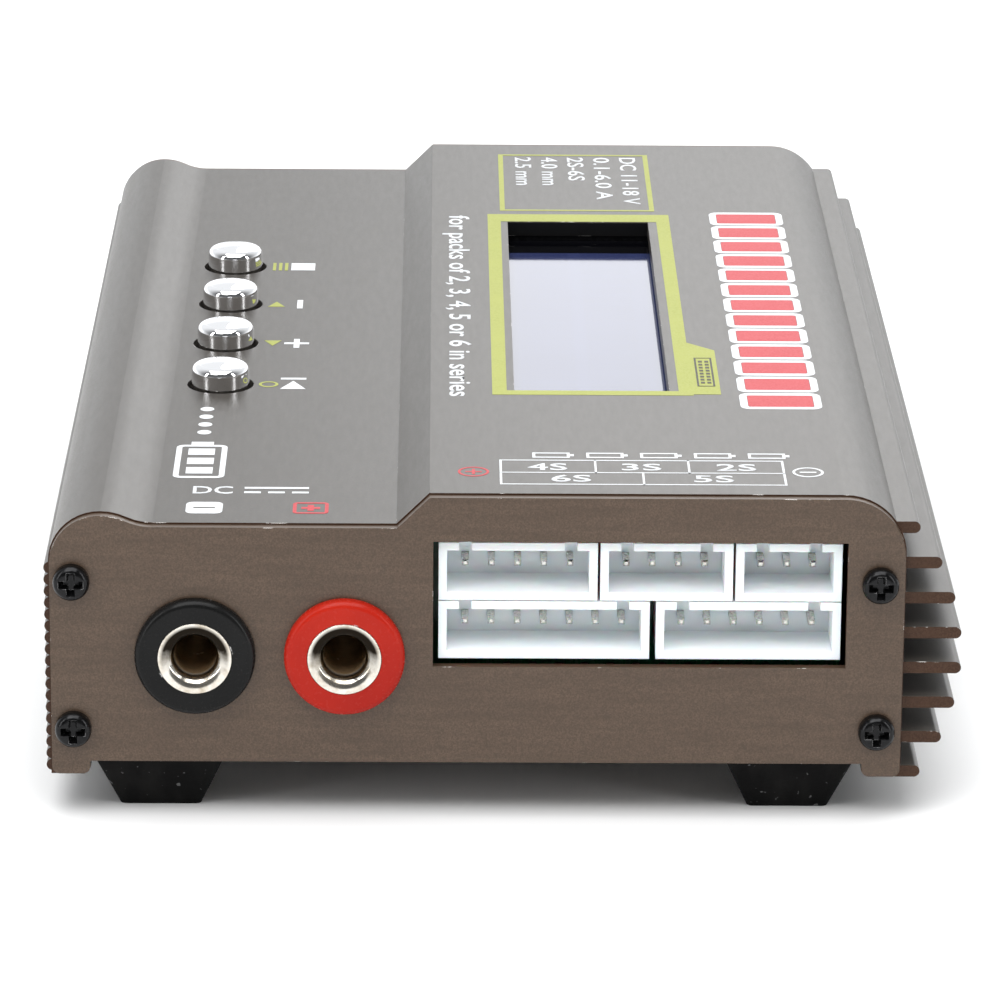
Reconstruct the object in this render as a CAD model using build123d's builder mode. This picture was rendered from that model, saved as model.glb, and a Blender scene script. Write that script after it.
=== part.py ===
"""Balance battery charger: an extruded aluminium housing with four push buttons, a character
display, five balance sockets, two 4 mm output sockets and the electronics that they need.

Millimetres, +Z up. X runs across the body (fins at +X), the output end faces -Y, and the feet
stand on Z = 0. The origin is the bottom centre of the whole object's box.
"""
from build123d import *

import os
from math import cos, radians, sin, sqrt

os.makedirs("parts", exist_ok=True)

# ------------------------------------------------------------------ housing sizes
body_width = 81.4        # left flank to right flank, without ribs and fins
body_length = 133.0      # outer face of the front plate to outer face of the rear plate
body_height = 26.75      # underside of the bottom cover to the upper deck
deck_drop = 3.05         # the lower deck lies this far under the upper deck
step_foot = 33.0         # left flank to the foot of the step between the decks
step_run = 3.1           # width of the slope between the decks
wall = 1.6               # thickness of the shell's top and sides
lip_depth = 1.65         # the shell's bottom lips reach this far under the cover
lip_width = 3.8
lip_radius = 0.9
left_corner_radius = 5.0
right_corner_radius = 6.0
shoulder_rise = 1.1      # the left shoulder stands this far above the lower deck
shoulder_run = 4.9       # length of the S curve from the shoulder down to the deck
plate_thickness = 1.0    # front and rear plates
plate_inset = 0.15       # plate edge inside the shell's outline
plate_lip_short = 0.2    # plate lips end this far above the shell's lips
plate_lip_radius = 0.75
cover_thickness = 1.0
cover_slack = 0.15       # play of the sliding cover in its grooves

# ------------------------------------------------------------------ fins and ribs
fin_count = 8
fin_pitch = 3.52
fin_thickness = 1.15
fin_reach = 5.55         # reach of the fin crown past the right flank
fin_crown_radius = 21.0  # the fin tips follow this arc
fin_crown_height = 10.8  # height of the arc's crown above the cover's underside
rib_count = 18
rib_pitch = 1.17
rib_proud = 0.45
rib_start = -0.75        # height of the lowest rib's axis

# ------------------------------------------------------------------ fasteners
screw_radius = 1.0       # M2 plate screws
screw_length = 7.0
screw_head_radius = 1.75
screw_head_height = 1.3
screw_clearance = 0.15   # radial, in plates and boards
thread_gap = 0.03        # radial, between a thread and its core hole
boss_radius = 2.1        # screw channels inside the shell
boss_inset = 2.25        # screw axis to flank, left side
boss_inset_right = 2.5
boss_low = 3.35          # heights of the screw axes above the cover's underside
boss_high = 18.15
recess_width = 0.8       # cross recess in a screw head, at its mouth
recess_span = 2.4
recess_narrow = 0.6      # recess's size at its bottom, as a share of its mouth
recess_depth = 0.9
head_crown = 0.6         # radius of a head's flat crown, as a share of the head's radius
head_side = 0.45         # height of a head's straight side, as a share of the head's height
head_shoulder = (0.86, 0.85)  # point on the shoulder's arc, as shares of radius and height

# ------------------------------------------------------------------ feet
foot_height = 5.8
foot_top = 12.7
foot_bottom = 7.8
foot_corner_radius = 0.6
foot_gap = 0.15          # foot to the lip beside it
foot_right_inset = 10.6  # right flank to the right feet's centre
foot_end_inset = 7.75    # end faces to the feet's centres

# ------------------------------------------------------------------ output sockets, 4 mm plugs
socket_bore_radius = 2.05
socket_bore_depth = 19.0
socket_mouth_flare = 1.1 # radius of the trumpet mouth's round
socket_rim_wall = 0.35   # flat metal around the mouth
socket_rim_length = 4.0
socket_sleeve_wall = 0.75
socket_end_wall = 1.5
socket_insulator_wall = 0.9  # plastic around the rim, out to the thread
socket_flange_overlap = 1.25 # flange past the thread
socket_flange_proud = 1.2
socket_flange_fillet = 0.7
socket_thread_length = 6.0
socket_fit = 0.05        # radial play between sleeve, insulator and plate
socket_nut_wall = 0.95   # nut past the thread, across the flats
socket_nut_thickness = 2.5
socket_height = 10.8     # socket axes above the cover's underside
negative_socket_inset = 13.9
socket_spacing = 14.2
tab_width = 3.0
tab_thickness = 0.8

# ------------------------------------------------------------------ balance headers, 2.5 mm pitch
pin_pitch = 2.5
pin_size = 0.64
header_end = 2.55        # end pin to the housing's end
header_height = 5.75
header_depth = 7.0
header_wall = 0.8
header_floor = 1.2
header_gap = 0.25        # least gap between two headers in a row
header_row_gap = 0.12
header_recess = 0.75     # header rim behind the plate's outer face
header_slot_width = 1.2
header_slot_depth = 4.4
pin_drop = 0.27          # pins lie this far under the housing's middle
pin_recess = 4.1         # pin tips behind the plate's outer face
pin_tail = 1.6           # pin length behind the balance board
pin_play = 0.02
pin_chamfer = 0.16
opening_side_margin = 0.5
opening_edge_margin = 0.31
opening_floor_margin = 0.61
opening_inset = 36.5     # left flank to the opening
opening_bottom = 9.7     # opening's lower edge above the cover's underside
top_row_pins = (5, 4, 3)
bottom_row_pins = (7, 6)
link_pins = 11           # pins that join the balance board to the main board

# ------------------------------------------------------------------ boards
board_thickness = 1.6
board_hole_play = 0.18   # pin corner to the edge of its plated hole
spacer_height = 3.0
spacer_radius = 2.5
board_screw_radius = 1.25
board_screw_head_radius = 2.3
board_screw_head_height = 1.4
board_nut_flats = 5.0
board_nut_thickness = 2.0
board_screw_end = 0.6    # thread showing above the nut
board_side_gap = 0.6     # board edge to the screw channels
board_front_gap = 5.2    # plate's inner face to the board's front edge
board_rear_gap = 1.0
board_hole_inset = 4.0
board_hole_end_inset = 15.0
balance_board_margin = 1.2

# ------------------------------------------------------------------ display
window_width = 15.5
window_length = 64.0
window_inset = 44.5      # left flank to the window
window_front = 34.4      # front face to the window
display_board_width = 36.0
display_board_length = 80.0
display_hole_inset = 2.5
bezel_width = 24.5
bezel_length = 71.3
bezel_height = 7.4
bezel_sheet = 0.5
bezel_window_margin = 0.3
bezel_gap = 0.1          # bezel to the underside of the upper deck
glass_thickness = 1.8
backlight_gap = 0.1
pillar_radius = 2.2
pillar_stud_radius = 1.0
display_pin_count = 16
display_pin_pitch = 2.54
display_pin_inset = 1.8
header_strip_size = 2.5

# ------------------------------------------------------------------ buttons and switches
button_names = ("start", "increase", "decrease", "stop")
button_inset = 14.7      # left flank to the row of buttons
button_front = 46.1      # front face to the first button
button_pitch = 14.75
button_radius = 2.95
button_proud = 2.25      # cap edge above the lower deck
button_dome = 0.25
button_fillet = 0.8
button_hole_gap = 0.45   # radial, cap to the hole in the deck
button_flange_overlap = 0.8  # flange past the hole
button_flange_thickness = 1.0
button_flange_gap = 0.1  # flange to the underside of the deck at rest
button_travel = 0.3
button_crown = 2.4       # solid metal above the stem's top
switch_size = 6.0
switch_height = 3.6
switch_floor = 0.8
switch_stem_radius = 1.75
switch_stem_play = 0.08  # running clearance of the stem in its housing
switch_over_travel = 0.2
switch_leg_width = 0.7
switch_leg_thickness = 0.3
switch_leg_span = 6.5
switch_leg_spacing = 4.5
switch_leg_tail = 0.9

# ------------------------------------------------------------------ parts on the main board
toroid_radius = 8.5
toroid_hole_radius = 4.5
toroid_height = 7.0
wire_radius = 0.5
wire_lift = 0.1          # winding to core
turn_count = 16
toroid_inset = 23.5
toroid_front = 33.2
capacitor_radius = 5.0
capacitor_height = 13.0
capacitor_fillet = 0.6
capacitor_count = 3
capacitor_pitch = 12.0
capacitor_inset = 26.5
capacitor_front = 58.0
buzzer_radius = 6.0
buzzer_height = 8.5
buzzer_hole_radius = 1.0
buzzer_inset = 24.0
controller_size = 12.0
controller_height = 1.5
controller_lead_span = 14.0
controller_lead_count = 11
controller_lead_pitch = 1.0
controller_lead_width = 0.4
controller_lead_thickness = 0.3
controller_front = 62.0
controller_inset = 50.0
shunt_length = 14.0
shunt_height = 4.0
shunt_width = 3.0
shunt_span = 5.0         # outer width of the folded sheet
shunt_sheet = 1.0
shunt_front = 46.0
transistor_width = 10.0
transistor_length = 9.0
transistor_height = 4.4
transistor_lead = 3.0
transistor_lead_thickness = 0.6
transistor_lead_pitch = 3.0
transistor_count = 4
transistor_pitch = 13.0
transistor_front = 46.0
transistor_edge_gap = 4.0
spreader_sheet = 2.0
spreader_leg = 8.5
spreader_margin = 2.0
spreader_foot = 1.5      # vertical leg's lower edge above the board
thermal_pad_thickness = 0.5

# ------------------------------------------------------------------ rear sockets
jack_width = 9.0
jack_height = 11.0
jack_depth = 13.0
jack_axis_height = 6.5
jack_bore_radius = 3.15
jack_nose_wall = 0.85
jack_bore_depth = 9.5
jack_pin_radius = 1.0
jack_pin_recess = 0.8
jack_pin_fillet = 0.6
jack_inset = 20.0
sensor_pins = 3
sensor_inset = 58.0
sensor_lift = 1.5        # sensor socket above the main board

# ------------------------------------------------------------------ derived places
left_corner_height = body_height - deck_drop + shoulder_rise - left_corner_radius
lower_deck = body_height - deck_drop
fin_crown_axis = body_width + fin_reach - fin_crown_radius
fin_heights = [fin_pitch * i - lip_depth + fin_thickness / 2 for i in range(fin_count)]
fin_tips = [fin_crown_axis + sqrt(fin_crown_radius**2 - (h - fin_crown_height) ** 2)
            for h in fin_heights]
left_x = -(max(fin_tips) + rib_proud) / 2 + rib_proud
right_x = left_x + body_width
base_z = foot_height
deck_z = base_z + body_height
lower_deck_z = base_z + lower_deck
front_y = -body_length / 2
rear_y = body_length / 2
shell_front = front_y + plate_thickness
shell_rear = rear_y - plate_thickness
shell_length = shell_rear - shell_front
cover_top = base_z + cover_thickness
board_bottom = cover_top + spacer_height
board_top = board_bottom + board_thickness
button_hole_radius = button_radius + button_hole_gap
button_flange_radius = button_hole_radius + button_flange_overlap
socket_body_radius = socket_bore_radius + socket_sleeve_wall
socket_mouth_radius = socket_bore_radius + socket_mouth_flare
socket_rim_radius = socket_mouth_radius + socket_rim_wall
socket_thread_radius = socket_rim_radius + socket_fit + socket_insulator_wall + socket_fit
socket_flange_radius = socket_thread_radius + socket_flange_overlap
socket_nut_flats = 2 * (socket_thread_radius + socket_fit + socket_nut_wall)
jack_nose_radius = jack_bore_radius + jack_nose_wall
screw_axes = [(left_x + boss_inset, base_z + boss_low),
              (left_x + boss_inset, base_z + boss_high),
              (right_x - boss_inset_right, base_z + boss_low),
              (right_x - boss_inset_right, base_z + boss_high)]


def save(part, name):
    """Label a finished piece and write it to its own file."""
    part.label = name
    export_step(part, f"parts/{name}.step")


def along_y(y):
    """Plane across the body at the given Y: local x is X, local y is Z, normal is -Y."""
    return Plane.XZ.offset(-y)


# ================================================================== housing
def body_outline(inset=0.0):
    """Outline of the extrusion without fins, as a face with local x = X and local y = Z."""
    bottom = base_z - lip_depth
    shoulder = (left_x + left_corner_radius, base_z + lower_deck + shoulder_rise)
    curve_middle = (shoulder[0] + shoulder_run / 2, shoulder[1] - shoulder_rise / 2)
    curve_end = (shoulder[0] + shoulder_run, lower_deck_z)
    corner_start = (right_x - right_corner_radius, deck_z)
    corner_end = (right_x, deck_z - right_corner_radius)
    with BuildSketch() as outline:
        with BuildLine():
            flank = Line((left_x, bottom), (left_x, base_z + left_corner_height))
            TangentArc(flank @ 1, shoulder, tangent=(0, 1))
            crest = TangentArc(shoulder, curve_middle, tangent=(1, 0))
            TangentArc(curve_middle, curve_end, tangent=crest % 1)
            Polyline(curve_end, (left_x + step_foot, lower_deck_z),
                     (left_x + step_foot + step_run, deck_z), corner_start)
            TangentArc(corner_start, corner_end, tangent=(1, 0))
            Polyline(corner_end, (right_x, bottom), (left_x, bottom))
        make_face()
        if inset > 0:
            offset(amount=-inset, kind=Kind.INTERSECTION)
    return outline.sketch


groove_left = left_x + wall
groove_right = right_x - wall
groove_width = groove_right - groove_left

with BuildPart() as upper_shell:
    with BuildSketch(along_y(shell_rear)) as profile:
        add(body_outline())
        for height, tip in zip(fin_heights, fin_tips):
            root = body_width - right_corner_radius - wall
            with Locations((left_x + (root + tip - fin_thickness / 2) / 2, base_z + height)):
                Rectangle(tip - fin_thickness / 2 - root, fin_thickness)
            with Locations((left_x + tip - fin_thickness / 2, base_z + height)):
                Circle(fin_thickness / 2)
        for i in range(rib_count):
            with Locations((left_x + rib_pitch / 2 - rib_proud, base_z + rib_start + rib_pitch * i)):
                Circle(rib_pitch / 2)
        with BuildSketch(mode=Mode.PRIVATE) as cavity:
            add(body_outline(wall))
            with Locations((left_x + body_width / 2, base_z - lip_depth)):
                Rectangle(body_width, 2 * lip_depth, mode=Mode.SUBTRACT)
        add(cavity.sketch, mode=Mode.SUBTRACT)
        with Locations(*screw_axes):
            Circle(boss_radius)
        with Locations((left_x + body_width / 2, base_z + (cover_thickness + cover_slack) / 2)):
            Rectangle(groove_width, cover_thickness + cover_slack, mode=Mode.SUBTRACT)
        with Locations((left_x + body_width / 2, base_z - lip_depth / 2)):
            Rectangle(body_width - 2 * lip_width, lip_depth, mode=Mode.SUBTRACT)
        lowest = profile.vertices().group_by(Axis.Y)[0]
        fillet(lowest.sort_by(lambda v: abs(v.X - left_x - body_width / 2))[:2], radius=lip_radius)
        with Locations(*screw_axes):
            Circle(screw_radius + thread_gap, mode=Mode.SUBTRACT)
    extrude(amount=shell_length)
    window_centre = (left_x + window_inset + window_width / 2,
                     front_y + window_front + window_length / 2)
    with BuildSketch(Plane.XY.offset(deck_z)):
        with Locations(window_centre):
            Rectangle(window_width, window_length)
    extrude(amount=-wall, mode=Mode.SUBTRACT)
    button_centres = [(left_x + button_inset, front_y + button_front + button_pitch * i)
                      for i in range(len(button_names))]
    with BuildSketch(Plane.XY.offset(lower_deck_z)):
        with Locations(*button_centres):
            Circle(button_hole_radius)
    extrude(amount=-wall, mode=Mode.SUBTRACT)
save(upper_shell.part, "upper_shell")

board_left = left_x + boss_inset + boss_radius + board_side_gap
board_right = right_x - boss_inset_right - boss_radius - board_side_gap
board_front = shell_front + board_front_gap
board_rear = shell_rear - board_rear_gap
board_middle = ((board_left + board_right) / 2, (board_front + board_rear) / 2)
board_holes = [(x, y) for x in (board_left + board_hole_inset, board_right - board_hole_inset)
               for y in (board_front + board_hole_end_inset, board_rear - board_hole_end_inset)]

with BuildPart() as bottom_cover:
    with BuildSketch(Plane.XY.offset(base_z)):
        with Locations((left_x + body_width / 2, 0)):
            Rectangle(groove_width - 2 * cover_slack, shell_length)
        with Locations(*board_holes):
            Circle(board_screw_radius + screw_clearance, mode=Mode.SUBTRACT)
    extrude(amount=cover_thickness)
save(bottom_cover.part, "bottom_cover")

for side, x in (("left", left_x + lip_width + foot_gap + foot_top / 2),
                ("right", right_x - foot_right_inset)):
    for end, y in (("front", front_y + foot_end_inset), ("rear", rear_y - foot_end_inset)):
        with BuildPart() as foot:
            with BuildSketch(Plane.XY):
                with Locations((x, y)):
                    RectangleRounded(foot_bottom, foot_bottom, foot_corner_radius)
            with BuildSketch(Plane.XY.offset(foot_height)):
                with Locations((x, y)):
                    RectangleRounded(foot_top, foot_top, foot_corner_radius)
            loft()
        save(foot.part, f"foot_{end}_{side}")


def end_plate_outline():
    """Outline of an end plate: the shell's section, cut away between its two lips."""
    with BuildSketch() as outline:
        add(body_outline(plate_inset))
        with Locations((left_x + body_width / 2, base_z - lip_depth)):
            Rectangle(2 * body_width, 2 * (plate_inset + plate_lip_short), mode=Mode.SUBTRACT)
        with Locations((left_x + body_width / 2, base_z - lip_depth)):
            Rectangle(body_width - 2 * lip_width, 2 * lip_depth, mode=Mode.SUBTRACT)
        fillet(outline.vertices().group_by(Axis.Y)[0], radius=plate_lip_radius)
        with Locations(*screw_axes):
            Circle(screw_radius + screw_clearance, mode=Mode.SUBTRACT)
    return outline.sketch


def header_length(pins):
    """Length of a header housing with the given number of pins."""
    return pin_pitch * (pins - 1) + 2 * header_end


row_width = max(sum(map(header_length, row)) + header_gap * (len(row) - 1)
                for row in (top_row_pins, bottom_row_pins))
opening_width = row_width + 2 * opening_side_margin
opening_height = (2 * header_height + header_row_gap
                  + opening_edge_margin + opening_floor_margin)
opening_middle = (left_x + opening_inset + opening_width / 2,
                  base_z + opening_bottom + opening_height / 2)
socket_axes = {"negative": (left_x + negative_socket_inset, base_z + socket_height),
               "positive": (left_x + negative_socket_inset + socket_spacing, base_z + socket_height)}

with BuildPart() as front_plate:
    with BuildSketch(along_y(shell_front)):
        add(end_plate_outline())
        with Locations(opening_middle):
            Rectangle(opening_width, opening_height, mode=Mode.SUBTRACT)
        with Locations(*socket_axes.values()):
            Circle(socket_thread_radius + socket_fit, mode=Mode.SUBTRACT)
    extrude(amount=plate_thickness)
save(front_plate.part, "front_plate")

jack_axis = (left_x + jack_inset, board_top + jack_axis_height)
sensor_bottom = board_top + sensor_lift
sensor_middle = (left_x + sensor_inset, sensor_bottom + header_height / 2)

with BuildPart() as rear_plate:
    with BuildSketch(along_y(rear_y)):
        add(end_plate_outline())
        with Locations(jack_axis):
            Circle(jack_nose_radius + socket_fit, mode=Mode.SUBTRACT)
        with Locations(sensor_middle):
            Rectangle(header_length(sensor_pins) + 2 * opening_edge_margin,
                      header_height + 2 * opening_edge_margin, mode=Mode.SUBTRACT)
    extrude(amount=plate_thickness)
save(rear_plate.part, "rear_plate")


def cross_recess(share):
    """Outline of a screw head's cross recess at the given share of its mouth size."""
    with BuildSketch() as recess:
        Rectangle(recess_span * share, recess_width * share)
        Rectangle(recess_width * share, recess_span * share)
    return recess.sketch


def pan_screw(radius, length, head_radius, head_height):
    """Cross-recessed pan-head screw: head on +Z, underside of the head on Z = 0."""
    crown_edge = (head_radius * head_crown, head_height)
    side_edge = (head_radius, head_height * head_side)
    shoulder = (head_radius * head_shoulder[0], head_height * head_shoulder[1])
    with BuildPart() as screw:
        with BuildSketch(Plane.XZ):
            with BuildLine():
                Polyline(crown_edge, (0, head_height), (0, -length), (radius / 2, -length),
                         (radius, -length + radius / 2), (radius, 0), (head_radius, 0), side_edge)
                ThreePointArc(side_edge, shoulder, crown_edge)
            make_face()
        revolve(axis=Axis.Z)
        with BuildSketch(Plane.XY.offset(head_height)):
            add(cross_recess(1))
        with BuildSketch(Plane.XY.offset(head_height - recess_depth)):
            add(cross_recess(recess_narrow))
        loft(mode=Mode.SUBTRACT)
    return screw.part


plate_screw = pan_screw(screw_radius, screw_length, screw_head_radius, screw_head_height)
with BuildPart() as end_plate_screws:
    for x, z in screw_axes:
        add(Plane((x, front_y, z), x_dir=(1, 0, 0), z_dir=(0, -1, 0)) * plate_screw)
        add(Plane((x, rear_y, z), x_dir=(1, 0, 0), z_dir=(0, 1, 0)) * plate_screw)
save(end_plate_screws.part, "end_plate_screws")

# ================================================================== output sockets
socket_rear = front_y + socket_bore_depth + socket_end_wall
flange_front = front_y - socket_flange_proud

for name, (x, z) in socket_axes.items():
    with BuildPart() as insulator:
        with BuildSketch(along_y(front_y)):
            with Locations((x, z)):
                Circle(socket_flange_radius)
        extrude(amount=socket_flange_proud)
        fillet(insulator.faces().sort_by(Axis.Y)[0].edges(), radius=socket_flange_fillet)
        with BuildSketch(along_y(front_y + socket_thread_length)):
            with Locations((x, z)):
                Circle(socket_thread_radius)
        extrude(amount=socket_thread_length)
        with BuildSketch(along_y(front_y + socket_thread_length)):
            with Locations((x, z)):
                Circle(socket_body_radius + socket_fit)
        extrude(amount=socket_thread_length + socket_flange_proud, mode=Mode.SUBTRACT)
        with BuildSketch(along_y(flange_front + socket_rim_length + socket_fit)):
            with Locations((x, z)):
                Circle(socket_rim_radius + socket_fit)
        extrude(amount=socket_rim_length + socket_fit, mode=Mode.SUBTRACT)
    save(insulator.part, f"{name}_socket_insulator")

    with BuildPart() as sleeve:
        with BuildSketch(along_y(socket_rear)):
            with Locations((x, z)):
                Circle(socket_body_radius)
        extrude(amount=socket_rear - flange_front)
        with BuildSketch(along_y(flange_front + socket_rim_length)):
            with Locations((x, z)):
                Circle(socket_rim_radius)
        extrude(amount=socket_rim_length)
        with BuildSketch(along_y(front_y + socket_bore_depth)):
            with Locations((x, z)):
                Circle(socket_bore_radius)
        extrude(amount=socket_bore_depth + socket_flange_proud, mode=Mode.SUBTRACT)
        mouth_edges = sleeve.edges().filter_by(GeomType.CIRCLE).group_by(Axis.Y)[0]
        fillet(mouth_edges.sort_by(SortBy.RADIUS)[0], radius=socket_mouth_flare)
        with BuildSketch(along_y(socket_rear)):
            with Locations((x, (z + board_top) / 2)):
                Rectangle(tab_width, z - board_top)
        extrude(amount=tab_thickness)
    save(sleeve.part, f"{name}_socket_sleeve")

    with BuildPart() as nut:
        with BuildSketch(along_y(shell_front + socket_nut_thickness)):
            with Locations((x, z)):
                RegularPolygon(socket_nut_flats / 2, 6, major_radius=False)
                Circle(socket_thread_radius + socket_fit, mode=Mode.SUBTRACT)
        extrude(amount=socket_nut_thickness)
    save(nut.part, f"{name}_socket_nut")

# ================================================================== balance headers
header_front = front_y + header_recess
header_rear = header_front + header_depth
balance_board_rear = header_rear + board_thickness
pin_front = front_y + pin_recess
pin_rear = balance_board_rear + pin_tail
bottom_row_z = base_z + opening_bottom + opening_floor_margin + header_height / 2
top_row_z = bottom_row_z + header_height + header_row_gap


def row_middles(pin_counts):
    """X of each header's middle when the headers are spread over the row's width."""
    lengths = [header_length(pins) for pins in pin_counts]
    gap = (row_width - sum(lengths)) / (len(lengths) - 1)
    starts = [sum(lengths[:i]) + gap * i for i in range(len(lengths))]
    row_left = opening_middle[0] - row_width / 2
    return [row_left + start + length / 2 for start, length in zip(starts, lengths)]


headers = [(pins, x, top_row_z) for pins, x in zip(top_row_pins, row_middles(top_row_pins))]
headers += [(pins, x, bottom_row_z)
            for pins, x in zip(bottom_row_pins, row_middles(bottom_row_pins))]


def pin_points(pins, x, z):
    """Pin axes of one header, as (X, Z)."""
    return [(x + pin_pitch * (i - (pins - 1) / 2), z - pin_drop) for i in range(pins)]


def header_housing(pins, x, z, front, outward):
    """Open-fronted socket housing; outward is -1 when it opens towards -Y and +1 towards +Y."""
    length = header_length(pins)
    inner_length = length - 2 * header_wall
    points = pin_points(pins, x, z)
    with BuildPart() as housing:
        with BuildSketch(along_y(front)):
            with Locations((x, z)):
                Rectangle(length, header_height)
        extrude(amount=outward * header_depth)
        with BuildSketch(along_y(front)):
            with Locations((x, z)):
                Rectangle(inner_length, header_height - 2 * header_wall)
        extrude(amount=outward * (header_depth - header_floor), mode=Mode.SUBTRACT)
        with BuildSketch(along_y(front)):
            with Locations(*[(px, z + (header_height - header_wall) / 2)
                             for px, _ in (points[0], points[-1])]):
                Rectangle(header_slot_width, header_wall)
        extrude(amount=outward * header_slot_depth, mode=Mode.SUBTRACT)
        with BuildSketch(along_y(front)):
            with Locations(*points):
                Rectangle(pin_size + 2 * pin_play, pin_size + 2 * pin_play)
        extrude(amount=outward * header_depth, mode=Mode.SUBTRACT)
    return housing.part


for pins, x, z in headers:
    save(header_housing(pins, x, z, header_front, -1), f"balance_header_{pins - 1}_cell")

for row, row_z in (("upper", top_row_z), ("lower", bottom_row_z)):
    with BuildPart() as row_pins:
        with BuildSketch(along_y(pin_rear)):
            for pins, x, z in headers:
                if z == row_z:
                    with Locations(*pin_points(pins, x, z)):
                        Rectangle(pin_size, pin_size)
        extrude(amount=pin_rear - pin_front)
        chamfer(row_pins.faces().group_by(Axis.Y)[0].edges(), length=pin_chamfer)
    save(row_pins.part, f"{row}_balance_pins")

link_pin_z = board_top + header_strip_size / 2
link_strip_rear = balance_board_rear + header_strip_size + pin_tail
link_points = [(opening_middle[0] + pin_pitch * (i - (link_pins - 1) / 2), link_pin_z)
               for i in range(link_pins)]
link_leg_y = link_strip_rear + pin_size
plated_hole = pin_size / sqrt(2) + board_hole_play

with BuildPart() as balance_board:
    with BuildSketch(along_y(balance_board_rear)):
        board_height = opening_middle[1] + opening_height / 2 + balance_board_margin - board_top
        with Locations((opening_middle[0], board_top + board_height / 2)):
            Rectangle(opening_width, board_height)
        for pins, x, z in headers:
            with Locations(*pin_points(pins, x, z)):
                Circle(plated_hole, mode=Mode.SUBTRACT)
        with Locations(*link_points):
            Circle(plated_hole, mode=Mode.SUBTRACT)
    extrude(amount=board_thickness)
save(balance_board.part, "balance_board")

with BuildPart() as balance_link:
    with BuildSketch(along_y(link_strip_rear)):
        with Locations((opening_middle[0], link_pin_z)):
            Rectangle(pin_pitch * link_pins, header_strip_size)
    extrude(amount=header_strip_size)
    with BuildSketch(along_y(link_leg_y + pin_size / 2)):
        with Locations(*link_points):
            Rectangle(pin_size, pin_size)
    extrude(amount=link_leg_y + pin_size / 2 - header_rear)
    with BuildSketch(Plane.XY.offset(link_pin_z + pin_size / 2)):
        with Locations(*[(x, link_leg_y) for x, _ in link_points]):
            Rectangle(pin_size, pin_size)
    extrude(amount=-(link_pin_z + pin_size / 2 - board_bottom + pin_tail / 2))
save(balance_link.part, "balance_link_header")

# ================================================================== display
display_x, display_y = window_centre
bezel_top = deck_z - wall - bezel_gap
display_board_top = bezel_top - bezel_height
display_board_bottom = display_board_top - board_thickness
glass_top = bezel_top - bezel_sheet
display_holes = [(display_x + sx * (display_board_width / 2 - display_hole_inset),
                  display_y + sy * (display_board_length / 2 - display_hole_inset))
                 for sx in (-1, 1) for sy in (-1, 1)]
display_pin_x = display_x - display_board_width / 2 + display_pin_inset
display_pins = [(display_pin_x, display_y + display_pin_pitch * (i - (display_pin_count - 1) / 2))
                for i in range(display_pin_count)]

with BuildPart() as display_board:
    with BuildSketch(Plane.XY.offset(display_board_bottom)):
        with Locations(window_centre):
            Rectangle(display_board_width, display_board_length)
        with Locations(*display_holes):
            Circle(screw_radius + screw_clearance, mode=Mode.SUBTRACT)
        with Locations(*display_pins):
            Circle(plated_hole, mode=Mode.SUBTRACT)
    extrude(amount=board_thickness)
save(display_board.part, "display_board")

with BuildPart() as display_bezel:
    with BuildSketch(Plane.XY.offset(display_board_top)):
        with Locations(window_centre):
            Rectangle(bezel_width, bezel_length)
    extrude(amount=bezel_height)
    with BuildSketch(Plane.XY.offset(display_board_top)):
        with Locations(window_centre):
            Rectangle(bezel_width - 2 * bezel_sheet, bezel_length - 2 * bezel_sheet)
    extrude(amount=bezel_height - bezel_sheet, mode=Mode.SUBTRACT)
    with BuildSketch(Plane.XY.offset(bezel_top)):
        with Locations(window_centre):
            Rectangle(window_width + 2 * bezel_window_margin,
                      window_length + 2 * bezel_window_margin)
    extrude(amount=-bezel_sheet, mode=Mode.SUBTRACT)
save(display_bezel.part, "display_bezel")

inner_bezel_width = bezel_width - 2 * bezel_sheet - 2 * backlight_gap
inner_bezel_length = bezel_length - 2 * bezel_sheet - 2 * backlight_gap
with BuildPart() as display_glass:
    with BuildSketch(Plane.XY.offset(glass_top - glass_thickness)):
        with Locations(window_centre):
            Rectangle(inner_bezel_width, inner_bezel_length)
    extrude(amount=glass_thickness)
save(display_glass.part, "display_glass")

with BuildPart() as display_backlight:
    with BuildSketch(Plane.XY.offset(display_board_top)):
        with Locations(window_centre):
            Rectangle(inner_bezel_width, inner_bezel_length)
    extrude(amount=glass_top - glass_thickness - display_board_top)
save(display_backlight.part, "display_backlight")

with BuildPart() as display_pillars:
    with BuildSketch(Plane.XY.offset(board_top)):
        with Locations(*display_holes):
            Circle(pillar_radius)
    extrude(amount=display_board_bottom - board_top)
    with BuildSketch(Plane.XY.offset(board_bottom)):
        with Locations(*display_holes):
            Circle(pillar_stud_radius)
    extrude(amount=board_thickness)
    with BuildSketch(Plane.XY.offset(display_board_bottom)):
        with Locations(*display_holes):
            Circle(screw_radius + thread_gap)
    extrude(amount=-screw_length, mode=Mode.SUBTRACT)
save(display_pillars.part, "display_pillars")

with BuildPart() as display_header:
    with BuildSketch(Plane.XY.offset(display_board_bottom)):
        with Locations((display_pin_x, display_y)):
            Rectangle(header_strip_size, display_pin_pitch * display_pin_count)
    extrude(amount=-header_strip_size)
    with BuildSketch(Plane.XY.offset(board_bottom - pin_tail / 2)):
        with Locations(*display_pins):
            Rectangle(pin_size, pin_size)
    extrude(amount=display_board_top - board_bottom + pin_tail)
save(display_header.part, "display_header")

# ================================================================== buttons and switches
stem_bottom = board_top + switch_floor + button_travel + switch_over_travel
flange_top = lower_deck_z - wall - button_flange_gap
cap_bottom = flange_top - button_flange_thickness
cap_edge = lower_deck_z + button_proud
stem_top = cap_edge - button_crown
leg_places = [(sx * switch_leg_span / 2, sy * switch_leg_spacing / 2)
              for sx in (-1, 1) for sy in (-1, 1)]

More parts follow.
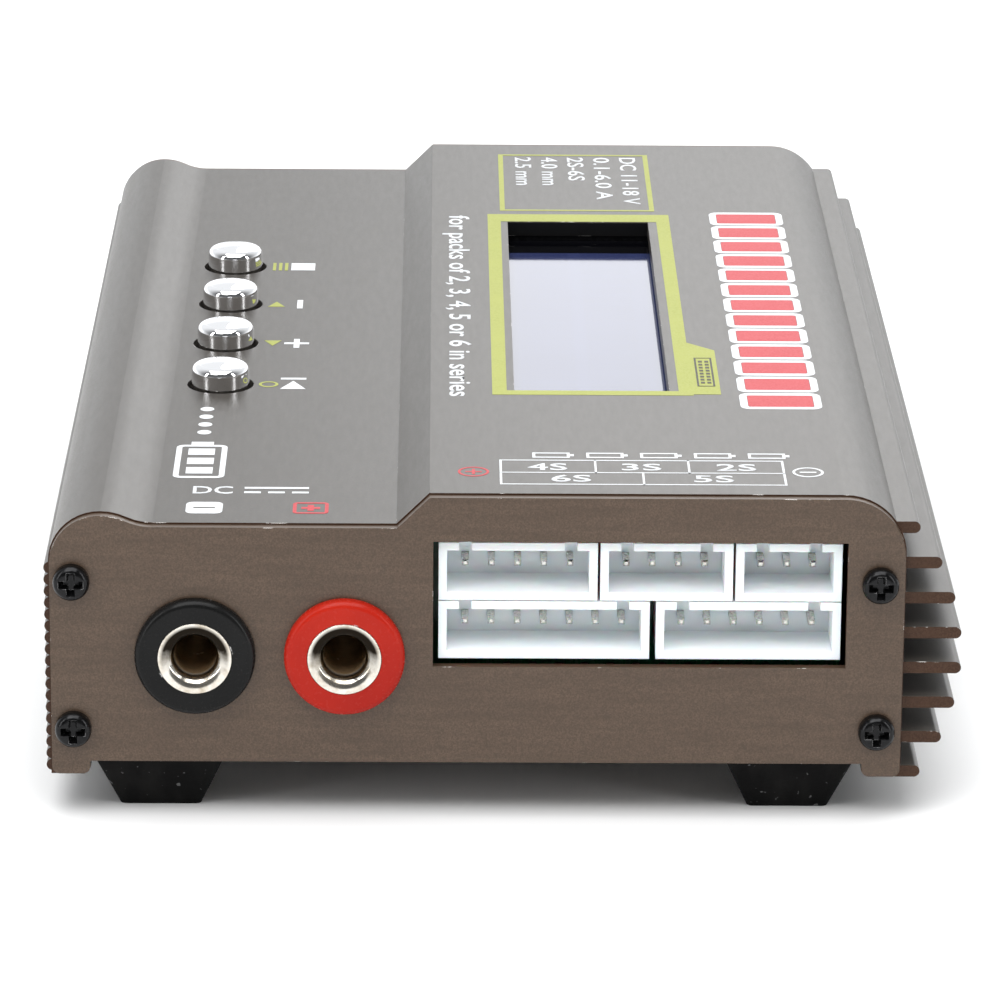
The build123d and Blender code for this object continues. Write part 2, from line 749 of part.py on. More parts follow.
for name, (x, y) in zip(button_names, button_centres):
    with BuildPart() as cap:
        with BuildSketch(Plane.XY.offset(cap_bottom)):
            with Locations((x, y)):
                Circle(button_flange_radius)
        extrude(amount=button_flange_thickness)
        with BuildSketch(Plane.XY.offset(cap_bottom)):
            with Locations((x, y)):
                Circle(button_radius)
        extrude(amount=cap_edge - cap_bottom)
        fillet(cap.faces().sort_by(Axis.Z)[-1].edges(), radius=button_fillet)
        dome_radius = button_radius - button_fillet
        with BuildSketch(Plane.XZ.offset(-y)):
            with BuildLine():
                Polyline((x + dome_radius, cap_edge), (x, cap_edge), (x, cap_edge + button_dome))
                TangentArc((x, cap_edge + button_dome), (x + dome_radius, cap_edge), tangent=(1, 0))
            make_face()
        revolve(axis=Axis((x, y, 0), (0, 0, 1)))
        with BuildSketch(Plane.XY.offset(cap_bottom)):
            with Locations((x, y)):
                Circle(switch_stem_radius + pin_play)
        extrude(amount=stem_top - cap_bottom, mode=Mode.SUBTRACT)
    save(cap.part, f"{name}_button_cap")

    with BuildPart() as stem:
        with BuildSketch(Plane.XY.offset(stem_bottom)):
            with Locations((x, y)):
                Circle(switch_stem_radius)
        extrude(amount=stem_top - stem_bottom)
    save(stem.part, f"{name}_switch_stem")

    with BuildPart() as switch:
        with BuildSketch(Plane.XY.offset(board_top)):
            with Locations((x, y)):
                Rectangle(switch_size, switch_size)
        extrude(amount=switch_height)
        with BuildSketch(Plane.XY.offset(board_top + switch_floor)):
            with Locations((x, y)):
                Circle(switch_stem_radius + switch_stem_play)
        extrude(amount=switch_height - switch_floor, mode=Mode.SUBTRACT)
        with BuildSketch(Plane.XY.offset(board_bottom - switch_leg_tail)):
            with Locations(*[(x + lx, y + ly) for lx, ly in leg_places]):
                Rectangle(switch_leg_width, switch_leg_thickness)
        extrude(amount=board_thickness + switch_leg_tail + switch_floor)
    save(switch.part, f"{name}_switch_housing")

# ================================================================== main board and its parts
leg_hole = sqrt(switch_leg_width**2 + switch_leg_thickness**2) / 2 + board_hole_play
transistor_x = board_right - transistor_edge_gap - transistor_width / 2
transistor_ys = [front_y + transistor_front + transistor_pitch * i for i in range(transistor_count)]
spreader_holes = [(transistor_x, (transistor_ys[i] + transistor_ys[i + 1]) / 2)
                  for i in (0, transistor_count - 2)]

with BuildPart() as main_board:
    with BuildSketch(Plane.XY.offset(board_bottom)):
        with Locations(board_middle):
            Rectangle(board_right - board_left, board_rear - board_front)
        with Locations(*board_holes):
            Circle(board_screw_radius + screw_clearance, mode=Mode.SUBTRACT)
        with Locations(*display_holes):
            Circle(pillar_stud_radius + thread_gap, mode=Mode.SUBTRACT)
        with Locations(*display_pins):
            Circle(plated_hole, mode=Mode.SUBTRACT)
        with Locations(*[(x, link_leg_y) for x, _ in link_points]):
            Circle(plated_hole, mode=Mode.SUBTRACT)
        with Locations(*[(x + lx, y + ly) for x, y in button_centres for lx, ly in leg_places]):
            Circle(leg_hole, mode=Mode.SUBTRACT)
        with Locations(*spreader_holes):
            Circle(screw_radius + thread_gap, mode=Mode.SUBTRACT)
    extrude(amount=board_thickness)
save(main_board.part, "main_board")

with BuildPart() as board_spacers:
    with BuildSketch(Plane.XY.offset(cover_top)):
        with Locations(*board_holes):
            Circle(spacer_radius)
            Circle(board_screw_radius + screw_clearance, mode=Mode.SUBTRACT)
    extrude(amount=spacer_height)
save(board_spacers.part, "board_spacers")

with BuildPart() as board_nuts:
    with BuildSketch(Plane.XY.offset(board_top)):
        with Locations(*board_holes):
            RegularPolygon(board_nut_flats / 2, 6, major_radius=False)
            Circle(board_screw_radius + thread_gap, mode=Mode.SUBTRACT)
    extrude(amount=board_nut_thickness)
save(board_nuts.part, "board_nuts")

board_screw_length = board_top + board_nut_thickness + board_screw_end - base_z
board_screw = pan_screw(board_screw_radius, board_screw_length,
                        board_screw_head_radius, board_screw_head_height)
with BuildPart() as board_screws:
    for x, y in board_holes:
        add(Plane((x, y, base_z), x_dir=(1, 0, 0), z_dir=(0, 0, -1)) * board_screw)
save(board_screws.part, "board_screws")

toroid_x = left_x + toroid_inset
toroid_y = front_y + toroid_front
core_bottom = board_top + 2 * wire_radius + wire_lift
with BuildPart() as inductor_core:
    with BuildSketch(Plane.XY.offset(core_bottom)):
        with Locations((toroid_x, toroid_y)):
            Circle(toroid_radius)
            Circle(toroid_hole_radius, mode=Mode.SUBTRACT)
    extrude(amount=toroid_height)
save(inductor_core.part, "inductor_core")

core_width = toroid_radius - toroid_hole_radius
core_middle = (toroid_radius + toroid_hole_radius) / 2
with BuildPart() as inductor_winding:
    for i in range(turn_count):
        angle = radians(360 / turn_count * (i + 0.5))
        turn_plane = Plane((toroid_x, toroid_y, core_bottom + toroid_height / 2),
                           x_dir=(cos(angle), sin(angle), 0), z_dir=(sin(angle), -cos(angle), 0))
        with BuildSketch(turn_plane):
            with Locations((core_middle, 0)):
                RectangleRounded(core_width + 2 * wire_lift + 4 * wire_radius,
                                 toroid_height + 2 * wire_lift + 4 * wire_radius, 2 * wire_radius)
                Rectangle(core_width + 2 * wire_lift, toroid_height + 2 * wire_lift,
                          mode=Mode.SUBTRACT)
        extrude(amount=wire_radius, both=True)
save(inductor_winding.part, "inductor_winding")

capacitor_ys = [front_y + capacitor_front + capacitor_pitch * i for i in range(capacitor_count)]
with BuildPart() as capacitors:
    with BuildSketch(Plane.XY.offset(board_top)):
        with Locations(*[(left_x + capacitor_inset, y) for y in capacitor_ys]):
            Circle(capacitor_radius)
    extrude(amount=capacitor_height)
    fillet(capacitors.faces().group_by(Axis.Z)[-1].edges(), radius=capacitor_fillet)
save(capacitors.part, "storage_capacitors")

# the buzzer stands midway between the last capacitor and the power jack
buzzer_y = (capacitor_ys[-1] + capacitor_radius + shell_rear - jack_depth) / 2
with BuildPart() as buzzer:
    with BuildSketch(Plane.XY.offset(board_top)):
        with Locations((left_x + buzzer_inset, buzzer_y)):
            Circle(buzzer_radius)
    extrude(amount=buzzer_height)
    with BuildSketch(Plane.XY.offset(board_top + buzzer_height)):
        with Locations((left_x + buzzer_inset, buzzer_y)):
            Circle(buzzer_hole_radius)
    extrude(amount=-buzzer_height / 2, mode=Mode.SUBTRACT)
save(buzzer.part, "buzzer")

with BuildPart() as controller:
    with BuildSketch(Plane.XY.offset(board_top)):
        with Locations((left_x + controller_inset, front_y + controller_front)):
            Rectangle(controller_size, controller_size)
    extrude(amount=controller_height)
    with BuildSketch(Plane.XY.offset(board_top)):
        with Locations((left_x + controller_inset, front_y + controller_front)):
            with GridLocations(controller_lead_pitch, 0, controller_lead_count, 1):
                Rectangle(controller_lead_width, controller_lead_span)
            with GridLocations(0, controller_lead_pitch, 1, controller_lead_count):
                Rectangle(controller_lead_span, controller_lead_width)
    extrude(amount=controller_lead_thickness)
save(controller.part, "microcontroller")

with BuildPart() as shunt:
    with BuildSketch(Plane.YZ.offset(left_x + toroid_inset - shunt_width / 2)):
        with Locations((front_y + shunt_front + shunt_width, board_top + shunt_height / 2)):
            Rectangle(shunt_span, shunt_height)
            with Locations((0, -shunt_sheet / 2)):
                Rectangle(shunt_span - 2 * shunt_sheet, shunt_height - shunt_sheet,
                          mode=Mode.SUBTRACT)
    extrude(amount=shunt_length / 2)
save(shunt.part, "current_shunt")

with BuildPart() as transistors:
    with BuildSketch(Plane.XY.offset(board_top)):
        with Locations(*[(transistor_x, y) for y in transistor_ys]):
            Rectangle(transistor_width, transistor_length)
    extrude(amount=transistor_height)
    with BuildSketch(Plane.XY.offset(board_top)):
        for y in transistor_ys:
            with Locations((transistor_x - transistor_width / 2 - transistor_lead / 2, y)):
                with GridLocations(0, transistor_lead_pitch, 1, 3):
                    Rectangle(transistor_lead, transistor_lead_thickness)
    extrude(amount=transistor_lead_thickness)
save(transistors.part, "power_transistors")

spreader_bottom = board_top + transistor_height
spreader_top = spreader_bottom + spreader_sheet
spreader_left = transistor_x - transistor_width / 2
spreader_right = right_x - wall - thermal_pad_thickness
spreader_length = transistor_ys[-1] - transistor_ys[0] + transistor_length + 2 * spreader_margin
spreader_y = (transistor_ys[0] + transistor_ys[-1]) / 2
spreader_low = board_top + spreader_foot
with BuildPart() as spreader:
    with BuildSketch(Plane.XY.offset(spreader_bottom)):
        with Locations(((spreader_left + spreader_right) / 2, spreader_y)):
            Rectangle(spreader_right - spreader_left, spreader_length)
        with Locations(*spreader_holes):
            Circle(screw_radius + screw_clearance, mode=Mode.SUBTRACT)
    extrude(amount=spreader_sheet)
    with BuildSketch(Plane.XY.offset(spreader_low)):
        with Locations((spreader_right - spreader_sheet / 2, spreader_y)):
            Rectangle(spreader_sheet, spreader_length)
    extrude(amount=spreader_leg)
save(spreader.part, "heat_spreader")

with BuildPart() as thermal_pad:
    with BuildSketch(Plane.XY.offset(spreader_low)):
        with Locations((spreader_right + thermal_pad_thickness / 2, spreader_y)):
            Rectangle(thermal_pad_thickness, spreader_length)
    extrude(amount=spreader_leg)
save(thermal_pad.part, "thermal_pad")

with BuildPart() as inner_screws:
    for x, y in display_holes:
        add(Pos(x, y, display_board_top) * plate_screw)
    for x, y in spreader_holes:
        add(Pos(x, y, spreader_top) * plate_screw)
save(inner_screws.part, "inner_screws")

# ================================================================== rear sockets
jack_x, jack_z = jack_axis
with BuildPart() as jack:
    with BuildSketch(along_y(shell_rear)):
        with Locations((jack_x, board_top + jack_height / 2)):
            Rectangle(jack_width, jack_height)
    extrude(amount=jack_depth)
    with BuildSketch(along_y(rear_y)):
        with Locations(jack_axis):
            Circle(jack_nose_radius)
    extrude(amount=plate_thickness)
    with BuildSketch(along_y(rear_y)):
        with Locations(jack_axis):
            Circle(jack_bore_radius)
    extrude(amount=jack_bore_depth, mode=Mode.SUBTRACT)
    with BuildSketch(along_y(rear_y - jack_bore_depth)):
        with Locations(jack_axis):
            Circle(jack_pin_radius + pin_play)
    extrude(amount=jack_depth, mode=Mode.SUBTRACT)
save(jack.part, "power_jack_body")

with BuildPart() as jack_pin:
    with BuildSketch(along_y(rear_y - jack_pin_recess)):
        with Locations(jack_axis):
            Circle(jack_pin_radius)
    extrude(amount=jack_depth)
    fillet(jack_pin.faces().sort_by(Axis.Y)[-1].edges(), radius=jack_pin_fillet)
save(jack_pin.part, "power_jack_pin")

sensor_front = rear_y - header_recess
save(header_housing(sensor_pins, *sensor_middle, sensor_front, 1), "sensor_socket_housing")

with BuildPart() as sensor_pin_row:
    with BuildSketch(along_y(rear_y - pin_recess)):
        with Locations(*pin_points(sensor_pins, *sensor_middle)):
            Rectangle(pin_size, pin_size)
    extrude(amount=header_depth)
save(sensor_pin_row.part, "sensor_socket_pins")
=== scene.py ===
"""Looks of the balance battery charger: materials for the CAD nodes, printed legends, light and camera."""

import math

import bmesh
import bpy
from mathutils import Matrix, Vector


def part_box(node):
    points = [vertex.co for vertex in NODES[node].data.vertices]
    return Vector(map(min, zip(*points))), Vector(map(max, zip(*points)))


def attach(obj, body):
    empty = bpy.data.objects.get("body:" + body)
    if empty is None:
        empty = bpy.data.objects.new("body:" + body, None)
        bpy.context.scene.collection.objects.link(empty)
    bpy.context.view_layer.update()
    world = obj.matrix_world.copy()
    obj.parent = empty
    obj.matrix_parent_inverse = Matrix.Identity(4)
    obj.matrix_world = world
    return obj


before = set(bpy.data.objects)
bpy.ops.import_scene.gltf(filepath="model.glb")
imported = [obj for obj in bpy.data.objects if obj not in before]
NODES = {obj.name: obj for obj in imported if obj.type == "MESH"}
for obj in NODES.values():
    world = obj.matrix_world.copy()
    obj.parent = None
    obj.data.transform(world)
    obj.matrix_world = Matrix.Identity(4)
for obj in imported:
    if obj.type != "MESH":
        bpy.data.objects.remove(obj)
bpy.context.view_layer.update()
MM = 0.001

# ---------------------------------------------------------------- places on the case, metres
PLATE_INSET = 0.15 * MM
DECK_DROP = 3.05 * MM
SKIN = 0.02 * MM
SHELL_LOW, SHELL_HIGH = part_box("upper_shell")
FLANK_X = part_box("front_plate")[0].x - PLATE_INSET
FRONT_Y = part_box("front_plate")[0].y
DECK_Z = SHELL_HIGH.z
LOWER_DECK_Z = DECK_Z - DECK_DROP

# the window in the upper deck: millimetres from the left flank and the front face
WINDOW_LEFT = 44.5
WINDOW_WIDTH = 15.5
WINDOW_NEAR = 34.4
WINDOW_LENGTH = 64.0
WINDOW_RIGHT = WINDOW_LEFT + WINDOW_WIDTH
WINDOW_FAR = WINDOW_NEAR + WINDOW_LENGTH
WINDOW_FAR_Y = FRONT_Y + WINDOW_FAR * MM


# ================================================================ node helpers
class Shader:
    """Builds one node material around a Principled shader."""

    def __init__(self, name, **constants):
        self.material = bpy.data.materials.new(name)
        self.material.use_nodes = True
        self.tree = self.material.node_tree
        self.bsdf = self.tree.nodes["Principled BSDF"]
        self.coords = self.tree.nodes.new("ShaderNodeTexCoord").outputs["Object"]
        for socket, value in constants.items():
            self.set(socket, value)

    def set(self, socket, value):
        """Set or link one input of the Principled shader; underscores stand for spaces."""
        self.plug(self.bsdf.inputs[socket.replace("_", " ")], value)

    def plug(self, socket, value):
        if isinstance(value, bpy.types.NodeSocket):
            self.tree.links.new(value, socket)
        else:
            socket.default_value = value

    def node(self, kind, output=0, inputs=(), **settings):
        """Add a node; inputs is a list of (name or index, value or socket)."""
        node = self.tree.nodes.new("ShaderNode" + kind)
        for key, value in settings.items():
            setattr(node, key, value)
        for key, value in inputs:
            self.plug(node.inputs[key], value)
        return node.outputs[output]

    def noise(self, scale, detail=2.0, roughness=0.5, distortion=0.0):
        """Noise in 0..1; scale is a number per metre or a vector of them."""
        vector = self.coords
        if isinstance(scale, tuple):
            vector = self.node("Mapping", inputs=[("Vector", self.coords), ("Scale", scale)])
            scale = 1.0
        return self.node("TexNoise", 0, [("Vector", vector), ("Scale", scale), ("Detail", detail),
                                         ("Roughness", roughness), ("Distortion", distortion)])

    def math(self, operation, a, b=0.0):
        return self.node("Math", 0, [(0, a), (1, b)], operation=operation)

    def add(self, a, b):
        return self.math("ADD", a, b)

    def less(self, a, b):
        return self.math("SUBTRACT", a, b)

    def times(self, a, b):
        return self.math("MULTIPLY", a, b)

    def span(self, value, low, high, out_low=0.0, out_high=1.0):
        """Map low..high to out_low..out_high, clamped."""
        return self.node("MapRange", 0, [("Value", value), ("From Min", low), ("From Max", high),
                                         ("To Min", out_low), ("To Max", out_high)])

    def mix(self, factor, a, b):
        """Mix two colours, each a tuple or a socket."""
        node = self.tree.nodes.new("ShaderNodeMix")
        node.data_type = "RGBA"
        node.clamp_factor = True
        self.plug(node.inputs["Factor"], factor)
        for index, colour in ((6, a), (7, b)):
            self.plug(node.inputs[index], (*colour, 1.0) if isinstance(colour, tuple) else colour)
        return node.outputs[2]

    def axis(self, index):
        """One of the object coordinates: 0 for X, 1 for Y, 2 for Z."""
        return self.node("SeparateXYZ", index, [("Vector", self.coords)])

    def edge(self, radius, low=0.02, high=0.25):
        """Mask that is 1 along sharp edges, from a rounded normal compared with the flat one."""
        rounded_normal = self.node("Bevel", 0, [("Radius", radius)], samples=6)
        flat_normal = self.node("NewGeometry", 1)
        dot = self.node("VectorMath", 1, [(0, rounded_normal), (1, flat_normal)], operation="DOT_PRODUCT")
        return self.span(self.less(1.0, dot), low, high)

    def relief(self, height, depth, round_edges=0.0):
        """Bump of the given depth in metres, over edges rounded by the given radius."""
        inputs = [("Height", height), ("Distance", depth), ("Strength", 1.0)]
        if round_edges > 0:
            inputs.append(("Normal", self.node("Bevel", 0, [("Radius", round_edges)], samples=6)))
        self.set("Normal", self.node("Bump", 0, inputs))


def scaled(colour, factor):
    return tuple(channel * factor for channel in colour)


def shade(material, *names):
    """Give the named CAD nodes one material."""
    for name in names:
        slots = NODES[name].data.materials
        slots.clear()
        slots.append(material)


# ================================================================ paint of the case
BROWN = (0.062, 0.0385, 0.0235)
BROWN_LIGHT = (0.114, 0.074, 0.048)
END_BROWN = (0.042, 0.020, 0.011)
END_BROWN_LIGHT = (0.068, 0.035, 0.021)
SHELL = (0.036, 0.031, 0.026)
SHELL_LIGHT = (0.100, 0.090, 0.078)
COVER = (0.085, 0.07, 0.06)
COVER_LIGHT = (0.12, 0.10, 0.09)
# painted shade: black laid over the window's far wall for the shadow there
FAR_WALL_SHADE_BLACK = (0.004, 0.004, 0.004)
BARE_METAL = (0.8, 0.78, 0.75)
FLAKES_PER_METRE = 7000.0
# the painted shade on the far wall stops just under the deck top
FAR_WALL_SHADE_TOP = DECK_Z - 0.12 * MM


def far_window_wall(s):
    """Mask of the window's far wall, painted black as painted shade for the shadow there and the dark
    bezel beyond it.
    """
    mask = s.math("GREATER_THAN", s.axis(1), WINDOW_FAR_Y - SKIN)
    for operation, index, limit in (("LESS_THAN", 1, WINDOW_FAR_Y + SKIN),
                                    ("GREATER_THAN", 0, FLANK_X + WINDOW_LEFT * MM),
                                    ("LESS_THAN", 0, FLANK_X + WINDOW_RIGHT * MM),
                                    ("LESS_THAN", 2, FAR_WALL_SHADE_TOP)):
        mask = s.times(mask, s.math(operation, s.axis(index), limit))
    return mask


def sawn_ends(s):
    """Mask of the shell's two cut end faces."""
    return s.math("MAXIMUM", s.math("LESS_THAN", s.axis(1), SHELL_LOW.y + SKIN),
                  s.math("GREATER_THAN", s.axis(1), SHELL_HIGH.y - SKIN))


def painted_aluminium(name, base, light, streaks, chip_level, brushing=0.45, cut_ends=False):
    """Fine metallic paint over aluminium: flake grain, faint brushing under it, chipped edges."""
    s = Shader(name, IOR=1.5)
    flake = s.noise(FLAKES_PER_METRE, 1.0)
    brushed = s.noise(streaks, 3.0, 0.6)
    cloud = s.noise(35.0, 3.0)
    grain = s.span(flake, 0.32, 0.72)
    colour = s.mix(grain, base, light)
    colour = s.mix(s.span(brushed, 0.35, 0.7, 0.0, brushing), colour, scaled(base, 0.8))
    colour = s.mix(s.span(cloud, 0.35, 0.75, 0.0, 0.15), colour, scaled(base, 1.25))
    chips = s.times(s.edge(0.12 * MM), s.span(s.noise(420.0, 4.0, 0.7), chip_level, chip_level + 0.03))
    if cut_ends:
        ends = sawn_ends(s)
        colour = s.mix(ends, colour, s.mix(grain, END_BROWN, END_BROWN_LIGHT))
        s.set("Specular_IOR_Level", s.span(ends, 0.0, 1.0, 0.5, 0.2))
    # painted shade: the window's far wall turns black
    colour = s.mix(far_window_wall(s), colour, FAR_WALL_SHADE_BLACK)
    s.set("Base Color", s.mix(chips, colour, BARE_METAL))
    s.set("Metallic", s.span(chips, 0.0, 1.0, 0.12, 0.9))
    s.set("Roughness", s.add(s.span(flake, 0.3, 0.7, 0.30, 0.42),
                             s.span(brushed, 0.3, 0.7, -0.01, 0.01 + 0.08 * brushing)))
    height = s.add(flake, s.times(brushed, brushing))
    s.relief(s.less(height, s.times(chips, 2.0)), 0.006 * MM, 0.12 * MM)
    return s.material


shade(painted_aluminium("shell_paint", SHELL, SHELL_LIGHT, (1600.0, 300.0, 1600.0), 0.60, 0.12, True),
      "upper_shell")
shade(painted_aluminium("plate_paint", BROWN, BROWN_LIGHT, (120.0, 900.0, 1300.0), 0.60),
      "front_plate", "rear_plate")
shade(painted_aluminium("cover_paint", COVER, COVER_LIGHT, (900.0, 25.0, 900.0), 0.7),
      "bottom_cover")


# ================================================================ metals
def black_oxide():
    """Blackened steel of the screws: oily dark sheen with rubbed edges."""
    s = Shader("black_oxide", Metallic=0.75, IOR=1.5)
    grain = s.noise(3500.0, 3.0)
    rub = s.times(s.edge(0.1 * MM), s.span(s.noise(900.0, 3.0), 0.5, 0.6))
    colour = s.mix(grain, (0.006, 0.006, 0.0065), (0.018, 0.018, 0.019))
    s.set("Base Color", s.mix(rub, colour, (0.3, 0.3, 0.3)))
    s.set("Roughness", s.span(grain, 0.3, 0.7, 0.12, 0.26))
    s.relief(grain, 0.008 * MM, 0.12 * MM)
    return s.material


def plain_metal(name, dark, light, rough, grain_scale, round_edges=0.08 * MM):
    """Bare or plated metal with fine grain and a little colour change."""
    s = Shader(name, Metallic=1.0)
    grain = s.noise(grain_scale, 3.0, 0.6)
    stain = s.noise(180.0, 3.0)
    colour = s.mix(s.span(grain, 0.3, 0.7), dark, light)
    s.set("Base Color", s.mix(s.span(stain, 0.5, 0.8, 0.0, 0.35), colour, scaled(dark, 0.7)))
    s.set("Roughness", s.span(grain, 0.3, 0.7, rough, rough + 0.12))
    s.relief(grain, 0.004 * MM, round_edges)
    return s.material


def turned_nickel(name, sleeve, insulator):
    """Nickel plate over turned brass: lathe rings, a bright lip, painted shade over the mouth's upper half
    and a brass-brown bore painted dark for the shade inside it.
    """
    low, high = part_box(insulator)
    middle = (low + high) / 2
    sleeve_low, sleeve_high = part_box(sleeve)
    lip = (sleeve_high.x - sleeve_low.x) / 2
    lathe_pitch = 0.22 * MM
    s = Shader(name, Metallic=1.0)
    along = s.axis(1)
    rise = s.less(s.axis(2), middle.z)
    aside = s.less(s.axis(0), middle.x)
    radius = s.math("SQRT", s.add(s.times(rise, rise), s.times(aside, aside)))
    rings = s.math("SINE", s.times(along, 2 * math.pi / lathe_pitch))
    fine = s.noise((900.0, 14000.0, 900.0), 2.0)
    stain = s.noise(650.0, 4.0, 0.65)
    colour = s.mix(s.span(stain, 0.42, 0.72), (0.78, 0.74, 0.67), (0.50, 0.43, 0.33))
    # painted shade: the upper half of the mouth, which faces down, is painted near black with a ragged
    # edge
    ragged_rise = s.add(rise, s.span(stain, 0.3, 0.7, -0.1 * lip, 0.1 * lip))
    upper_shade = s.times(s.span(ragged_rise, -0.45 * lip, 0.25 * lip), s.span(radius, lip * 0.97, lip * 0.88))
    colour = s.mix(upper_shade, colour, (0.014, 0.011, 0.008))
    # partly painted shade: past the mouth the bore is brass-brown, painted darker than brass to stand for
    # the shade inside it
    depth = s.span(along, FRONT_Y - 0.1 * MM, FRONT_Y + 0.6 * MM)
    s.set("Base Color", s.mix(depth, colour, s.mix(stain, (0.22, 0.14, 0.07), (0.50, 0.35, 0.20))))
    s.set("Metallic", s.span(depth, 0.0, 1.0, 1.0, 0.35))
    s.set("Roughness", s.span(stain, 0.35, 0.75, 0.12, 0.30))
    s.relief(s.add(s.times(rings, 0.5), fine), 0.006 * MM, 0.1 * MM)
    return s.material


def polished_chrome():
    """Polished chrome of the button caps with hairline scratches and a trace of dust."""
    s = Shader("polished_chrome", Metallic=1.0)
    hairs = s.noise((2600.0, 90.0, 2600.0), 2.0, 0.6, 0.4)
    dust = s.noise(2400.0, 3.0, 0.7)
    s.set("Base Color", s.mix(s.span(dust, 0.6, 0.75, 0.0, 0.3), (0.90, 0.90, 0.91), (0.62, 0.61, 0.60)))
    s.set("Roughness", s.add(s.span(hairs, 0.55, 0.75, 0.03, 0.10), s.span(dust, 0.6, 0.8, 0.0, 0.2)))
    s.relief(hairs, 0.0012 * MM)
    return s.material


for polarity in ("negative", "positive"):
    sleeve = polarity + "_socket_sleeve"
    shade(turned_nickel(polarity + "_sleeve_nickel", sleeve, polarity + "_socket_insulator"), sleeve)
shade(black_oxide(), "end_plate_screws", "board_screws")
shade(polished_chrome(), *[name for name in NODES if name.endswith("_button_cap")])
shade(plain_metal("nickel_plate", (0.50, 0.46, 0.38), (0.74, 0.70, 0.63), 0.2, 2600.0),
      "negative_socket_nut", "positive_socket_nut", "power_jack_pin")
shade(plain_metal("zinc_steel", (0.42, 0.42, 0.41), (0.60, 0.60, 0.58), 0.28, 2400.0),
      "board_spacers", "board_nuts", "display_pillars", "inner_screws")
shade(plain_metal("tinned_pins", (0.55, 0.54, 0.50), (0.75, 0.73, 0.68), 0.22, 3200.0, 0.05 * MM),
      "upper_balance_pins", "lower_balance_pins", "sensor_socket_pins", "current_shunt")
shade(plain_metal("enamelled_copper", (0.50, 0.20, 0.08), (0.72, 0.34, 0.16), 0.2, 1500.0),
      "inductor_winding")
shade(plain_metal("bare_aluminium", (0.55, 0.55, 0.56), (0.74, 0.74, 0.75), 0.3, (60.0, 900.0, 900.0)),
      "heat_spreader", "storage_capacitors")
shade(plain_metal("blackened_bezel", (0.015, 0.015, 0.017), (0.03, 0.03, 0.033), 0.4, 2600.0),
      "display_bezel")


# ================================================================ plastics, rubber and boards
def moulded_plastic(name, base, other, rough, chip_level=None, bump=0.004 * MM, **constants):
    """Moulded plastic: faint mould grain, soft edges, optional pale nicks along the edges."""
    s = Shader(name, **constants)
    grain = s.noise(2600.0, 3.0)
    cloud = s.noise(120.0, 3.0)
    colour = s.mix(s.span(cloud, 0.3, 0.75), base, other)
    if chip_level is not None:
        nicks = s.times(s.edge(0.25 * MM, 0.01, 0.12),
                        s.span(s.noise(520.0, 4.0, 0.7), chip_level, chip_level + 0.03))
        colour = s.mix(nicks, colour, (0.75, 0.74, 0.72))
    s.set("Base Color", colour)
    s.set("Roughness", s.span(grain, 0.3, 0.7, rough, rough + 0.1))
    s.relief(grain, bump, 0.1 * MM)
    return s.material


def foot_rubber():
    """Moulded rubber: matt black, fine pits and pale dust specks."""
    s = Shader("foot_rubber", IOR=1.12)
    pits = s.noise(3200.0, 4.0, 0.65)
    specks = s.span(s.noise(1300.0, 2.0, 0.4), 0.70, 0.74)
    scuff = s.noise((350.0, 350.0, 90.0), 3.0)
    colour = s.mix(s.span(scuff, 0.4, 0.8), (0.006, 0.006, 0.006), (0.014, 0.0135, 0.013))
    s.set("Base Color", s.mix(specks, colour, (0.10, 0.10, 0.10)))
    s.set("Roughness", s.span(pits, 0.3, 0.7, 0.55, 0.75))
    s.relief(pits, 0.02 * MM, 0.25 * MM)
    return s.material


def circuit_board():
    """Green solder mask with copper tracks showing through it and fine fibre weave."""
    s = Shader("circuit_board", IOR=1.5)
    tracks = s.node("TexBrick", 1, [("Vector", s.coords), ("Scale", 260.0), ("Mortar Size", 0.06),
                                    ("Brick Width", 1.7), ("Row Height", 0.45)])
    weave = s.noise((1800.0, 1800.0, 400.0), 2.0)
    colour = s.mix(tracks, (0.008, 0.085, 0.035), (0.02, 0.16, 0.07))
    s.set("Base Color", s.mix(s.span(weave, 0.35, 0.7, 0.0, 0.4), colour, (0.004, 0.05, 0.02)))
    s.set("Roughness", s.span(weave, 0.3, 0.7, 0.22, 0.34))
    s.relief(s.add(tracks, s.times(weave, 0.2)), 0.02 * MM, 0.05 * MM)
    return s.material


COLUMNS = 16
ROWS = 2
CELL_Y = 3.6 * MM
CELL_X = 6.6 * MM
DOT_GAP = 0.14


def unlit_characters(s):
    """Mask of the display's dots: 16 columns by 2 rows of cells, each of 5 by 8 dots."""
    low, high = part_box("display_glass")
    middle = (low + high) / 2
    mask = 1.0
    for axis, centre, size, count, fill, dots in ((1, middle.y, CELL_Y, COLUMNS, 0.80, 5),
                                                  (0, middle.x, CELL_X, ROWS, 0.82, 8)):
        grid = s.math("DIVIDE", s.less(s.axis(axis), centre - count / 2 * size), size)
        inside = s.node("Math", 0, [(0, grid), (1, count / 2), (2, count / 2)], operation="COMPARE")
        cell = s.math("FRACT", grid)
        lit = s.math("GREATER_THAN", s.math("FRACT", s.times(cell, dots / fill)), DOT_GAP)
        for part in (inside, s.math("LESS_THAN", cell, fill), lit):
            mask = s.times(mask, part)
    return mask


